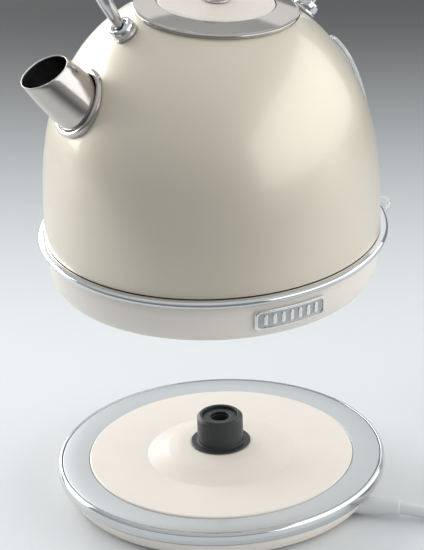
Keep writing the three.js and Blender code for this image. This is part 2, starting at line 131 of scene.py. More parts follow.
def add_camera():
    data = bpy.data.cameras.new("camera")
    data.sensor_width = 36
    data.lens = CAMERA_LENS
    data.clip_end = 50
    camera = bpy.data.objects.new("camera", data)
    out = turn(CAMERA_AZIMUTH, "Z") @ Vector((0, -CAMERA_PLACE_M, CAMERA_HEIGHT_M))
    aim = turn(CAMERA_AZIMUTH + CAMERA_YAW, "Z") @ turn(90 - CAMERA_PITCH, "X") @ turn(CAMERA_ROLL, "Z")
    camera.matrix_world = Matrix.Translation(out) @ aim
    bpy.context.scene.collection.objects.link(camera)
    bpy.context.scene.camera = camera


# ---------- outlines ----------

def rounded(corners, radius=0.25, steps=4):
    """A closed outline of (x, y) or (x, y, radius), its corners rounded apart from those on the axis."""
    outline = []
    for i, corner in enumerate(corners):
        here = Vector(corner[:2])
        before = Vector(corners[i - 1][:2]) - here
        after = Vector(corners[(i + 1) % len(corners)][:2]) - here
        half = before.angle(after) / 2
        wanted = corner[2] if len(corner) > 2 else radius
        if here.x == 0 or wanted == 0 or half > math.radians(NEARLY_STRAIGHT):
            outline.append(here)
            continue
        longest = SIDE_SHARE * min(before.length, after.length)
        reach = min(wanted / math.tan(half), longest)
        bisector = (before.normalized() + after.normalized()).normalized()
        centre = here + bisector * reach / math.cos(half)
        first = here + before.normalized() * reach - centre
        last = here + after.normalized() * reach - centre
        sweep = first.angle_signed(last)
        for k in range(steps + 1):
            outline.append(centre + Matrix.Rotation(-sweep * k / steps, 2) @ first)
    return outline


def rounded_rect(half_x, half_y, radius, arc=9, side=15):
    """Points round a rounded rectangle, the same number of them whatever its size."""
    corners = []
    for turn_number, (sx, sy) in enumerate([(1, 1), (-1, 1), (-1, -1), (1, -1)]):
        centre = Vector((sx * (half_x - radius), sy * (half_y - radius)))
        for k in range(arc):
            angle = math.radians(90 * (turn_number + k / (arc - 1)))
            corners.append(centre + radius * Vector((math.cos(angle), math.sin(angle))))
    points = []
    for i, here in enumerate(corners):
        points.append(here)
        if i % arc == arc - 1:
            after = corners[(i + 1) % len(corners)]
            points += [here.lerp(after, (k + 1) / (side + 1)) for k in range(side)]
    return points


def dome_outline(offset):
    """(radius, z) from the dome's foot to its crown, z above the trim ring, moved out by offset."""
    start = Vector((BODY_R, BODY_FOOT))
    lean = math.radians(DOME_START)
    end = Vector((DOME_R * math.sin(lean), DOME_CENTRE + DOME_R * math.cos(lean)))
    rise = end.y - start.y
    handles = [
        start,
        start + Vector((0, FOOT_PULL * rise)),
        end + Vector((math.cos(lean), -math.sin(lean))) * CROWN_PULL * rise,
        end,
    ]
    outline = []
    for i in range(FOOT_STEPS):
        t = i / FOOT_STEPS
        u = 1 - t
        a, b, c, d = handles
        point = a * u**3 + b * 3 * u * u * t + c * 3 * u * t * t + d * t**3
        along = ((b - a) * u * u + (c - b) * 2 * u * t + (d - c) * t * t).normalized()
        outline.append(point + Vector((along.y, -along.x)) * offset)
    for i in range(CROWN_STEPS + 1):
        angle = lean * (1 - i / CROWN_STEPS)
        reach = DOME_R + offset
        radius = 0 if i == CROWN_STEPS else reach * math.sin(angle)
        outline.append(Vector((radius, DOME_CENTRE + reach * math.cos(angle))))
    return outline


def on_dome(z, y, offset, outline=tuple(dome_outline(0))):
    """The point on the rear of the dome at a height above the trim ring and a sideways place."""
    i = next(k for k in range(1, len(outline)) if outline[k].y >= z)
    low, high = outline[i - 1], outline[i]
    point = low.lerp(high, (z - low.y) / (high.y - low.y))
    along = (high - low).normalized()
    point = point + Vector((along.y, -along.x)) * offset
    return Vector((math.sqrt(point.x**2 - y * y), y, point.y))


# ---------- mesh makers ----------

def piece(name, points, faces, place=FLOOR, sharp=SHARP):
    """An object of the mesh, points in millimetres, smooth apart from edges sharper than an angle."""
    mesh = bpy.data.meshes.new(name)
    mesh.from_pydata([(place @ Vector(p)) * MM for p in points], [], faces)
    work = bmesh.new()
    work.from_mesh(mesh)
    bmesh.ops.recalc_face_normals(work, faces=work.faces)
    work.to_mesh(mesh)
    work.free()
    mesh.shade_smooth()
    mesh.set_sharp_from_angle(angle=math.radians(sharp))
    made = bpy.data.objects.new(name, mesh)
    bpy.context.scene.collection.objects.link(made)
    return made


def joined_rings(rings, closed):
    """Faces between rings of point numbers. A ring of one point is a pole; closed joins last to first."""
    faces = []
    for i in range(len(rings) if closed else len(rings) - 1):
        here, after = rings[i], rings[(i + 1) % len(rings)]
        for k in range(max(len(here), len(after))):
            j = k + 1
            corners = [
                here[k % len(here)],
                here[j % len(here)],
                after[j % len(after)],
                after[k % len(after)],
            ]
            corners = list(dict.fromkeys(corners))
            if len(corners) > 2:
                faces.append(corners)
    return faces


def turned(name, outline, place=FLOOR, steps=RIM_STEPS):
    """A closed (radius, z) outline turned about Z."""
    points, rings = [], []
    for r, z in outline:
        count = steps if r > 0 else 1
        rings.append(range(len(points), len(points) + count))
        for k in range(count):
            angle = 2 * math.pi * k / steps
            points.append((r * math.cos(angle), r * math.sin(angle), z))
    return piece(name, points, joined_rings(rings, True), place)


def lofted(name, sections, place=FLOOR, closed=False, sharp=SHARP):
    """A skin over sections with equal numbers of points. Open ends are filled across."""
    count = len(sections[0])
    points = [p for section in sections for p in section]
    rings = [range(i * count, (i + 1) * count) for i in range(len(sections))]
    faces = joined_rings(rings, closed)
    if not closed:
        faces += [list(rings[0]), list(rings[-1])]
    return piece(name, points, faces, place, sharp)


def extruded(name, outline, low, high, place=FLOOR):
    return lofted(name, [[(x, y, z) for x, y in outline] for z in (low, high)], place)


def box(name, low, high, place=FLOOR):
    corners = [(low[0], low[1]), (high[0], low[1]), (high[0], high[1]), (low[0], high[1])]
    return extruded(name, corners, low[2], high[2], place)


def cylinder(name, radius, low, high, place=FLOOR, steps=KNOB_STEPS):
    return turned(name, [(0, low), (radius, low), (radius, high), (0, high)], place, steps)


def combined(target, operation, *tools):
    """Applies the tools to target, one after another, and removes them."""
    for tool in tools:
        change = target.modifiers.new("combine", "BOOLEAN")
        change.operation = operation
        change.solver = "EXACT"
        change.object = tool
    ready = target.evaluated_get(bpy.context.evaluated_depsgraph_get())
    mesh = bpy.data.meshes.new_from_object(ready)
    target.modifiers.clear()
    target.data = mesh
    mesh.shade_smooth()
    mesh.set_sharp_from_angle(angle=math.radians(SHARP))
    for tool in tools:
        bpy.data.objects.remove(tool)
    return target


def carved(target, *tools):
    return combined(target, "DIFFERENCE", *tools)


def joined(target, *tools):
    return combined(target, "UNION", *tools)


def softened(target, width, segments=3):
    """Rounds the sharp edges."""
    change = target.modifiers.new("edges", "BEVEL")
    change.width = width * MM
    change.segments = segments
    change.limit_method = "ANGLE"
    change.angle_limit = math.radians(BEVEL_FROM)
    change.harden_normals = True
    return target


def swept(name, points, radius, place, resolution):
    """A round bar through the points, as one open curve."""
    curve = bpy.data.curves.new(name, "CURVE")
    curve.dimensions = "3D"
    curve.resolution_u = resolution
    curve.bevel_depth = 1  # a point's own radius gives the thickness
    curve.bevel_resolution = 6
    curve.use_fill_caps = True
    spline = curve.splines.new("BEZIER")
    spline.bezier_points.add(len(points) - 1)
    for knot, point in zip(spline.bezier_points, points):
        knot.co = (place @ Vector(point)) * MM
        knot.handle_left_type = knot.handle_right_type = "AUTO"
        knot.radius = radius * MM
    made = bpy.data.objects.new(name, curve)
    bpy.context.scene.collection.objects.link(made)
    return made


def show(made, slot, finish, *nodes):
    """The piece stands for its nodes, moves with their body and takes its finish."""
    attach(made, BODY_OF[nodes[0]])
    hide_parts(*nodes)
    made.data.materials.clear()
    made.data.materials.append(finish)
    return made


# ---------- finishes ----------

NOISE_SPAN = (0.3, 0.7)  # where nearly all of a noise's values lie


class Finish:
    """A Principled material, with helpers that add grain to it."""

    def __init__(self, name, color, metallic, roughness, **sockets):
        self.material = bpy.data.materials.new(name)
        self.material.use_nodes = True
        self.tree = self.material.node_tree
        self.shader = self.tree.nodes["Principled BSDF"]
        self.color = (*color, 1)
        self.set("Base Color", self.color)
        self.set("Metallic", metallic)
        self.set("Roughness", roughness)
        for socket, value in sockets.items():
            self.set(socket.replace("_", " ").title().replace("Ior", "IOR"), value)

    def set(self, socket, value):
        self.shader.inputs[socket].default_value = value

    def node(self, kind, **values):
        made = self.tree.nodes.new(kind)
        for name, value in values.items():
            setattr(made, name, value)
        return made

    def grain(self, scale, stretch=(1, 1, 1), detail=2.0, round_axis=False):
        """Noise over the object's own place. With round_axis, it runs in rings about Z."""
        place = self.node("ShaderNodeTexCoord").outputs["Object"]
        if round_axis:
            split = self.node("ShaderNodeSeparateXYZ")
            self.tree.links.new(place, split.inputs[0])
            square = self.node("ShaderNodeVectorMath", operation="MULTIPLY")
            self.tree.links.new(place, square.inputs[0])
            square.inputs[1].default_value = (1, 1, 0)
            size = self.node("ShaderNodeVectorMath", operation="LENGTH")
            self.tree.links.new(square.outputs[0], size.inputs[0])
            join = self.node("ShaderNodeCombineXYZ")
            self.tree.links.new(size.outputs["Value"], join.inputs[0])
            self.tree.links.new(split.outputs["Z"], join.inputs[2])
            place = join.outputs[0]
        mapping = self.node("ShaderNodeMapping")
        mapping.inputs["Scale"].default_value = stretch
        noise = self.node("ShaderNodeTexNoise")
        noise.inputs["Scale"].default_value = scale
        noise.inputs["Detail"].default_value = detail
        self.tree.links.new(place, mapping.inputs["Vector"])
        self.tree.links.new(mapping.outputs[0], noise.inputs["Vector"])
        return noise.outputs["Fac"]

    def spread(self, value, low, high):
        """The middle of a noise's range spread between two numbers."""
        ramp = self.node("ShaderNodeMapRange")
        self.tree.links.new(value, ramp.inputs["Value"])
        numbers = (*NOISE_SPAN, low, high)
        for socket, number in zip(["From Min", "From Max", "To Min", "To Max"], numbers):
            ramp.inputs[socket].default_value = number
        return ramp.outputs["Result"]

    def rough(self, value, low, high):
        self.tree.links.new(self.spread(value, low, high), self.shader.inputs["Roughness"])
        return self

    def tint(self, value, other):
        mix = self.node("ShaderNodeMix", data_type="RGBA")
        self.tree.links.new(self.spread(value, 0, 1), mix.inputs["Factor"])
        # The mix node has several sockets of the same name: 6 and 7 are its colours.
        mix.inputs[6].default_value = self.color
        mix.inputs[7].default_value = (*other, 1)
        self.tree.links.new(mix.outputs[2], self.shader.inputs["Base Color"])
        return self

    def bump(self, value, depth):
        bump = self.node("ShaderNodeBump")
        bump.inputs["Strength"].default_value = 1.0
        bump.inputs["Distance"].default_value = depth * MM
        self.tree.links.new(value, bump.inputs["Height"])
        self.tree.links.new(bump.outputs[0], self.shader.inputs["Normal"])
        return self


def pearl():
    """Cream lacquer with a fine pearl in it, under a clear coat."""
    made = Finish("pearl_lacquer", (0.75, 0.672, 0.548), 0.35, 0.40, coat_weight=0.6, coat_roughness=0.1)
    flakes = made.grain(3500, detail=1)
    made.tint(flakes, (0.79, 0.722, 0.604))
    made.rough(made.grain(900), 0.37, 0.43)
    return made.bump(made.grain(260, detail=1), 0.004).material


def ivory():
    """Glossy moulded plastic with a trace of moulding ripple."""
    made = Finish("ivory_plastic", (0.875, 0.81, 0.735), 0.0, 0.42, coat_weight=0.1, coat_roughness=0.25)
    made.tint(made.grain(45), (0.89, 0.83, 0.755))
    made.rough(made.grain(700), 0.38, 0.46)
    return made.bump(made.grain(220, detail=1), 0.004).material


def chrome():
    made = Finish("chrome_plate", (0.66, 0.67, 0.68), 1.0, 0.05)
    made.rough(made.grain(400), 0.035, 0.075)
    return made.bump(made.grain(120, detail=1), 0.002).material


def polished_steel():
    """The lid ring's near-mirror steel, with polishing rings about the axis."""
    made = Finish("polished_steel", (0.52, 0.49, 0.46), 1.0, 0.1)
    made.rough(made.grain(2500, (1, 1, 0.2), round_axis=True), 0.07, 0.13)
    return made.bump(made.grain(2200, round_axis=True), 0.0006).material


def satin_steel():
    """The base ring's satin steel, brushed in rings."""
    made = Finish("satin_steel", (0.60, 0.625, 0.64), 1.0, 0.38)
    lines = made.grain(4000, round_axis=True)
    made.tint(lines, (0.64, 0.665, 0.68))
    made.rough(lines, 0.34, 0.42)
    return made.bump(lines, 0.002).material


def spout_steel():
    """Bright steel with a fine brush along the spout."""
    made = Finish("spout_steel", (0.56, 0.53, 0.50), 1.0, 0.13)
    lines = made.grain(1800, (0.15, 1, 0.15))
    made.rough(lines, 0.10, 0.17)
    return made.bump(lines, 0.0015).material


def spout_painted_shade():
    """The same steel made dark where it sees only itself: painted shade inside the spout, left dull."""
    made = Finish("spout_painted_shade", (0.20, 0.21, 0.21), 1.0, 0.34)
    made.rough(made.grain(1200), 0.28, 0.42)
    return made.bump(made.grain(900), 0.003).material


def plain_steel():
    made = Finish("plain_steel", (0.62, 0.62, 0.61), 1.0, 0.32)
    made.rough(made.grain(1500), 0.27, 0.38)
    return made.bump(made.grain(1500), 0.002).material


def plate_metal():
    """The bright border and ridges of the name plate."""
    made = Finish("plate_metal", (0.86, 0.86, 0.85), 1.0, 0.2)
    made.rough(made.grain(900), 0.16, 0.25)
    return made.bump(made.grain(1500), 0.001).material


def plate_field():
    """The name plate's darker field, brushed upright."""
    made = Finish("plate_field", (0.44, 0.44, 0.43), 1.0, 0.3)
    lines = made.grain(2500, (1, 1, 0.1))
    made.tint(lines, (0.56, 0.56, 0.55))
    made.rough(lines, 0.24, 0.36)
    return made.bump(lines, 0.003).material


def black_plastic():
    made = Finish("black_plastic", (0.022, 0.026, 0.028), 0.0, 0.42)
    made.rough(made.grain(900), 0.36, 0.48)
    return made.bump(made.grain(1600), 0.01).material


def clear_plastic():
    """Clear moulding over a pale back, so that it reads white."""
    made = Finish("clear_plastic", (0.90, 0.92, 0.92), 0.0, 0.10, transmission_weight=0.45, ior=1.49)
    made.rough(made.grain(500), 0.07, 0.14)
    return made.bump(made.grain(90, detail=1), 0.003).material


def rubber():
    made = Finish("foot_rubber", (0.035, 0.035, 0.036), 0.0, 0.7)
    made.rough(made.grain(800), 0.62, 0.8)
    return made.bump(made.grain(1200), 0.02).material


def silicone():
    made = Finish("silicone", (0.62, 0.62, 0.60), 0.0, 0.5, subsurface_weight=0.1)
    made.rough(made.grain(600), 0.45, 0.58)
    return made.bump(made.grain(900), 0.01).material


def brass():
    made = Finish("brass", (0.72, 0.52, 0.22), 1.0, 0.28)
    made.rough(made.grain(900), 0.22, 0.36)
    return made.bump(made.grain(1500), 0.002).material


def aluminium():
    made = Finish("aluminium", (0.58, 0.59, 0.60), 1.0, 0.42)
    made.tint(made.grain(300), (0.52, 0.53, 0.54))
    return made.bump(made.grain(700), 0.02).material


def cord_vinyl():
    """Pale grey soft vinyl."""
    made = Finish("cord_vinyl", (0.68, 0.70, 0.70), 0.0, 0.42)
    made.tint(made.grain(60), (0.71, 0.73, 0.73))
    made.rough(made.grain(900), 0.38, 0.48)
    return made.bump(made.grain(1100), 0.006).material


# ---------- cord ----------

CORD_R = 3.5
CORD_EXIT = Vector((48.2, -68.2, 6.6))
CORD_HEADING = -40
RELIEF_LENGTH = 26
LEAD_IN = [
    (68.6, -85.3, 6.6), (74.7, -90.4, 5.8), (82.3, -96.2, 4.4), (91, -101.9, 3.7), (101.5, -108.1, 3.7),
    (113, -114.6, 3.6),
]
LEAD_OUT = [(185.5, -88.8, 10.8), (193.2, -72.8, 9.6), (196.9, -59, 8.2), (198.5, -45.4, 8.1)]
COIL_CENTRE = Vector((144.8, -84.2, 0))
COIL_START = -119        # where the lead runs onto the coil
COIL_END = -28           # and where it leaves it
COIL_OUTER_R = 41.8
COIL_INNER_R = 34.5
COIL_UPPER_R = 38.2
COIL_LOW_Z = 3.6
COIL_HIGH_Z = 10.1
COIL_STEP = 15           # degrees between the points of the coil
COIL_INWARDS = (285, 375)  # degrees along the coil over which it moves in to its inner turn,
COIL_UPWARDS = (600, 690)  # and over which it climbs onto the two
PLUG_PLACE = Vector((198.7, -43.9, 8.4))
PLUG_TILT = -13
PLUG_HEADING = 92
PIN_SIDE = 9.5           # from the plug's axis to a pin's

RELIEF = Matrix.Translation(CORD_EXIT) @ turn(CORD_HEADING, "Z") @ turn(90, "Y")
PLUG = Matrix.Translation(PLUG_PLACE) @ turn(PLUG_HEADING, "Z") @ turn(PLUG_TILT, "Y") @ turn(90, "Y")


def ease(value, low, high):
    """0 before low, 1 after high, and smooth between."""
    t = min(max((value - low) / (high - low), 0), 1)
    return t * t * (3 - 2 * t)


def coil_points():
    """Two turns side by side on the floor, then a quarter turn on top of them."""
    whole = 720 + COIL_END - COIL_START
    points = []
    for step in range(0, whole + 1, COIL_STEP):
        inwards = ease(step, *COIL_INWARDS)
        upwards = ease(step, *COIL_UPWARDS)
        radius = COIL_OUTER_R + (COIL_INNER_R - COIL_OUTER_R) * inwards
        radius += (COIL_UPPER_R - COIL_INNER_R) * upwards
        height = COIL_LOW_Z + (COIL_HIGH_Z - COIL_LOW_Z) * upwards
        angle = math.radians(COIL_START + step)
        points.append(COIL_CENTRE + Vector((radius * math.cos(angle), radius * math.sin(angle), height)))
    return points


def cord_route():
    start = [CORD_EXIT, RELIEF @ Vector((0, 0, RELIEF_LENGTH / 2))]
    lead_in = [Vector(p) for p in LEAD_IN]
    lead_out = [Vector(p) for p in LEAD_OUT]
    return start + lead_in + coil_points() + lead_out + [PLUG_PLACE]


def add_cord(vinyl, steel):
    cord = swept("mains_cord", cord_route(), CORD_R, FLOOR, 6)
    show(cord, "cord", vinyl, "cord_tube_in", "cord_coil", "cord_tube_out")

    taper = [
        (0, 0), (5, 0, 0.4), (4.9, 6, 2), (4.3, 24, 3), (4.2, RELIEF_LENGTH, 0.6), (0, RELIEF_LENGTH),
    ]
    relief = turned("strain_relief", rounded(taper), RELIEF, KNOB_STEPS)
    show(relief, "cord", vinyl, "cord_strain_relief")

    shell = [
        (0, 0), (4.6, 0, 0.8), (5.4, 12, 6), (7.6, 20, 8), (11.5, 25, 6), (15.6, 30, 8), (17.8, 35, 8),
        (18.3, 42, 12), (17.8, 50, 2), (16.8, 52, 0.8), (0, 52),
    ]
    plug = turned("plug_body_fine", rounded(shell, steps=6), PLUG, 96)
    show(plug, "cord", vinyl, "plug_body")
    for i, side in enumerate((-PIN_SIDE, PIN_SIDE)):
        pin = [(0, 52.3), (2.4, 52.3, 0.2), (2.4, 69.2, 1), (1.6, 71, 0.8), (0, 71)]
        made = turned(f"plug_pin_{i + 1}_fine", rounded(pin), PLUG @ Matrix.Translation((0, side, 0)), 32)
        show(made, "steel", steel, f"plug_pin_{i + 1}")


# ---------- power base ----------

CORD_HOLE_R = 5.3
FEET_R = 70              # from the axis to the feet, and to each set of screws
BASE_SCREWS_R = 48
BOTTOM_SCREWS_R = 34


def add_base(finishes):
    parts = {
        "base_bottom_cover": ("ivory", [
            (0, 1.6), (82, 1.6, 2), (84.8, 3, 3), (87.9, 7.4, 9), (90.2, 11.8, 0.3), (88, 11.8, 0.3),
            (85.8, 8, 7), (82.6, 4.2, 3), (0, 4.2),
        ]),
        "base_chrome_rim": ("chrome", [
            (88.9, 12.2), (91.2, 12.2, 0.6), (92.3, 13.6, 1.4), (92.5, 16.2, 3), (92.1, 18.6, 1.4),
            (91.1, 20, 0.7), (90.1, 20.2, 0.3), (89.9, 18.4), (88.9, 18.2),
        ]),
        "base_steel_ring": ("satin", [(74.7, 18.6), (89.5, 18.6), (89.5, 20, 0.3), (74.7, 20, 0.3)]),
        "base_top_cover": ("ivory", [
            (13.4, 25.8), (31, 23.2), (39, 19.2), (72.6, 18), (72.6, 16), (88.4, 16), (88.4, 18.2),
            (74.3, 18.2), (74.3, 20.4, 0.5), (73.6, 20.9, 0.8), (41.4, 21.4, 3), (38, 22.5, 3),
            (33, 24.2, 2), (29.5, 25.5, 3), (24, 26.9, 3), (17.6, 28, 0.6), (13.4, 28),
        ]),
        "connector_tower": ("black", [
            (4.9, 4.6), (12.9, 4.6), (12.9, 28.3, 0), (16.8, 28.3), (16.8, 28.8, 0.2), (16.3, 29.2, 0.3),
            (12.9, 29.2, 0.5), (12.9, 43.8, 0.4), (11.4, 45.3, 0.4), (9.9, 45.3), (9.9, 42.4), (4.9, 42.4),
        ]),
        "connector_shutter": ("black", [(5.3, 42.8), (9.5, 42.8), (9.5, 43.9, 0.3), (5.3, 43.9, 0.4)]),
        "contact_pin": ("brass", [
            (0, 4.6), (4.4, 4.6), (4.4, 14), (1.7, 14), (1.7, 37.6, 0.8), (0, 38.4),
        ]),
    }
    for node, (finish, corners) in parts.items():
        made = turned(f"{node}_fine", rounded(corners), FLOOR)
        if node == "base_bottom_cover":
            carved(made, cylinder("cord_hole", CORD_HOLE_R, -10, RELIEF_LENGTH, RELIEF))
        show(made, *finishes[finish], node)
    for i in range(4):
        spot = turn(45 + 90 * i, "Z") @ Matrix.Translation((FEET_R, 0, 0))
        outline = rounded([(0, 0), (6, 0, 0.5), (6, 1.3), (0, 1.3)])
        foot = turned(f"base_foot_{i + 1}_fine", outline, spot, SMALL_STEPS)
        show(foot, *finishes["rubber"], f"base_foot_{i + 1}")
    for i in range(3):
        spot = turn(30 + 120 * i, "Z") @ Matrix.Translation((BASE_SCREWS_R, 0, 0))
        add_screw(f"base_screw_{i + 1}", 3, 0.6, 1.3, spot, finishes)


def add_screw(node, radius, low, high, place, finishes):
    """A flat screw head that faces down, with a cross recess."""
    outline = rounded([(0, low), (radius, low), (radius, high), (0, high)], 0.15)
    head = turned(f"{node}_fine", outline, place, SMALL_STEPS)
    slot = 0.18 * radius
    reach = 0.62 * radius
    depth = low + 0.6 * (high - low)
    across = box("across", (-reach, -slot, low - 1), (reach, slot, depth), place)
    along = box("along", (-slot, -reach, low - 1), (slot, reach, depth), place)
    show(carved(head, across, along), *finishes["steel"], node)


# ---------- kettle ----------

def add_body(finishes):
    outline = [*reversed(dome_outline(-WALL)), *dome_outline(0)]
    shell = turned("body_shell_fine", outline, KETTLE, DOME_STEPS)
    opening = cylinder("opening", OPENING_R, 40, 100, TOP, 128)
    root = cylinder("root", SPOUT_ROOT_R + ROOT_CLEARANCE, -20, 20, SPOUT, 96)
    middle = sum(GAUGE_SPAN) / 2
    spot = KETTLE @ Matrix.Translation((0, 0, middle)) @ turn(90, "Y")
    slot = extruded("slot", rounded_rect(*SLOT_HALF, SLOT_CORNER), 60, 110, spot)
    show(carved(shell, opening, root, slot), *finishes["pearl"], "body_shell")


def gauge_ring(inset, offset):
    """A ring of points on the dome's rear, inside the gauge's outline by inset."""
    half = (GAUGE_SPAN[1] - GAUGE_SPAN[0]) / 2
    wide = max(GAUGE_HALF - inset, 0.05)
    middle = sum(GAUGE_SPAN) / 2
    radius = min(GAUGE_HALF - 0.5, 0.98 * wide)
    outline = rounded_rect(half - inset, wide, radius)
    return [on_dome(middle + p.x, p.y, offset) for p in outline]


def add_gauge(finishes):
    # Each pair is how far in from the outline, and how far out from the dome.
    pocket = [(10.9, 3.1), (6, 3.1), (2.9, 3.1), (2.5, 3), (2.4, 2.7), (2.4, 1.6), (0.2, 1.6)]
    outside = [
        (0, 1.8), (0, 2.6), (0.15, 3.2), (0.5, 3.7), (1.1, 4), (2, 4.15), (3.5, 4.2), (6, 4.25),
        (10.9, 4.3),
    ]
    rings = [gauge_ring(*ring) for ring in pocket + outside]
    window = lofted("level_window_fine", rings, KETTLE, sharp=40)
    show(window, *finishes["clear"], "level_window")
    lips = [(0.1, 0.35), (0, 0.5), (0, 1.2), (0.1, 1.3), (3.1, 1.3), (3.2, 1.2), (3.2, 0.5), (3.1, 0.35)]
    seal = lofted("window_seal_fine", [gauge_ring(*ring) for ring in lips], KETTLE, closed=True)
    show(seal, *finishes["silicone"], "window_seal")


def add_foot(finishes):
    parts = {
        "chrome_trim_ring": ("chrome", [
            (88.9, -2.3), (94.6, -2.4, 1), (95.9, -1.5, 1.3), (96.2, -0.2, 1.5), (95.9, 0.9, 1.3),
            (95, 1.7, 1), (93.2, 2.1, 1.5), (88.9, 2.2),
        ]),
        "skirt": ("ivory", [
            (88.2, -2.7), (91, -2.7, 0.3), (91, -9, 20), (90.4, -16, 18), (89, -21.4, 8), (86.9, -24.5, 4),
            (84.6, -25.3, 2), (82.7, -25.3, 0.4), (82.7, -23.9), (85.3, -22.4, 2), (87.4, -16, 8),
            (88.2, -9, 8),
        ]),
        "bottom_cover": ("ivory", [
            (18, -16), (42.5, -16, 1.5), (46, -23.6, 1.5), (82.3, -23.6, 0.4), (82.3, -21.8),
            (47.2, -21.8, 1), (43.6, -14.2, 1), (18, -14.2),
        ]),
        "connector_socket": ("black", [
            (0, 2.4), (15.8, 2.4), (15.8, -13.6), (17.4, -13.6), (17.4, -15, 0.4), (14.2, -15, 0.6),
            (14.2, 1), (0, 1),
        ]),
        "socket_contact": ("brass", [(2.6, 0.6), (4.1, 0.6), (4.1, -3.2, 0.4), (2.6, -3.2, 0.4)]),
        "plate_seal": ("silicone", [(88.7, 4.8), (90.8, 4.8, 0.6), (90.8, 8.4, 0.6), (88.7, 8.4)]),
        "heater_plate": ("steel", [(0, 6), (88.4, 6), (88.4, 7.2), (0, 7.2)]),
    }
    for node, (finish, corners) in parts.items():
        made = turned(f"{node}_fine", rounded(corners), KETTLE)
        if node == "skirt":
            carved(made, box("notch", (83, -9.5, -18.6), (99, 9.5, -0.6), KETTLE))
        if node == "heater_plate":
            carved(made, cylinder("tube_hole", 4.2, 0, 20, STEAM_TUBE))
        show(made, *finishes[finish], node)
    for i in range(3):
        spot = KETTLE @ turn(90 + 120 * i, "Z") @ Matrix.Translation((BOTTOM_SCREWS_R, 0, 0))
        add_screw(f"bottom_screw_{i + 1}", 2.8, -17.3, -16.3, spot, finishes)


SKIRT_TURN = [(-2.7, 91.4), (-9, 91.4), (-16, 90.8), (-21.4, 89.4)]  # (level, radius) under the plate
PLATE_HALF = (21, 6)
PLATE_BORDER = 1.55      # width of the raised border
FIELD_TOP = 1            # the field lies lower than this over the skirt, the ridges higher
PLATE_CORNER = 2.2
PLATE_Z = -13
RIDGE_HALF = (1.1, 3.0)
RIDGES = [-15 + 5 * k for k in range(7)]


def skirt_radius(level):
    for (z_high, r_high), (z_low, r_low) in zip(SKIRT_TURN, SKIRT_TURN[1:]):
        if level >= z_low:
            break
    return r_high + (r_low - r_high) * (level - z_high) / (z_low - z_high)


def on_skirt(x, z, out):
    """The point on the front of the skirt, moved out from it."""
    radius = skirt_radius(PLATE_Z + z) + out
    return Vector((x, -math.sqrt(radius**2 - x * x), PLATE_Z + z))


def plate_ring(inset, out):
    wide = max(PLATE_HALF[1] - inset, 0.02)
    radius = min(PLATE_CORNER, 0.98 * wide)
    return [on_skirt(p.x, p.y, out) for p in rounded_rect(PLATE_HALF[0] - inset, wide, radius)]


def ridge_ring(inset, out, middle):
    """Round one upright ridge, with its middle at a sideways place."""
    narrow, tall = RIDGE_HALF[0] - inset, RIDGE_HALF[1] - inset
    outline = rounded_rect(narrow, tall, 0.9 * narrow, arc=5, side=5)
    return [on_skirt(middle + p.x, p.y, out) for p in outline]


def add_name_plate(finishes):
    """A blank plate with a raised border and a brushed field, with plain upright ridges on it."""
    # Each pair is how far in from the outline, and how far out from the skirt.
    border = [
        (5.9, 0.0), (0.2, 0.0), (0, 0.2), (0, 1.2), (0.15, 1.5), (0.5, 1.62), (1, 1.62), (1.35, 1.5),
        (1.5, 1.1),
    ]
    field = [(1.6, 0.8), (3, 0.8), (5.9, 0.8)]
    ridge = [(0, 0.6), (0, 1.25), (0.15, 1.4), (0.75, 1.45)]
    plate = lofted("name_plate_fine", [plate_ring(*ring) for ring in border + field], KETTLE)
    ridges = [lofted("ridge", [ridge_ring(*ring, x) for ring in ridge], KETTLE) for x in RIDGES]
    joined(plate, *ridges)
    show(plate, *finishes["plate"], "name_plate")
    plate.data.materials.append(finishes["plate_field"][1])
    half_x, half_z = (half - PLATE_BORDER for half in PLATE_HALF)
    for face in plate.data.polygons:
        middle = KETTLE.inverted() @ (face.center / MM)
        inside = abs(middle.x) < half_x and abs(middle.z - PLATE_Z) < half_z
        if inside and middle.xy.length - skirt_radius(middle.z) < FIELD_TOP:
            face.material_index = 1


HEATER_R = 52
HEATER_BAR_R = 3.4


def add_inside(finishes):
    """The heater and the steam tube are new. The other pieces in here are the CAD's own."""
    bends = [math.radians(a) for a in range(20, 341, 10)]
    ring = [(HEATER_R * math.cos(a), HEATER_R * math.sin(a), 2) for a in bends]
    heater = swept("heating_element_fine", ring, HEATER_BAR_R, KETTLE, 4)
    show(heater, *finishes["aluminium"], "heating_element")
    tube = rounded([(2.6, -4), (3.6, -4), (3.6, 86), (2.6, 86)])
    made = turned("steam_tube_fine", tube, STEAM_TUBE, SMALL_STEPS)
    show(made, *finishes["silicone"], "steam_tube")
    for node, finish in [
        ("thermostat_control", "black"), ("switch_housing", "black"),
        ("filter_frame", "ivory"), ("filter_mesh", "steel"),
    ]:
        kept = frame["nodes"][node]
        kept.data.materials.clear()
        kept.data.materials.append(finishes[finish][1])
        softened(kept, 0.3)


# ---------- spout ----------

ROOT_DEPTH = 5           # how far the tube runs into the dome
ROOT_OUT = 1.9           # and how far out it runs straight
SPOUT_STEPS = 12
LIP_STEPS = 6


def ellipse(centre, rise, half_up, half_side, count=96):
    lean = math.radians(rise)
    up = Vector((math.sin(lean), 0, math.cos(lean)))
    side = Vector((0, 1, 0))
    angles = [2 * math.pi * k / count for k in range(count)]
    return [centre + up * half_up * math.cos(a) + side * half_side * math.sin(a) for a in angles]


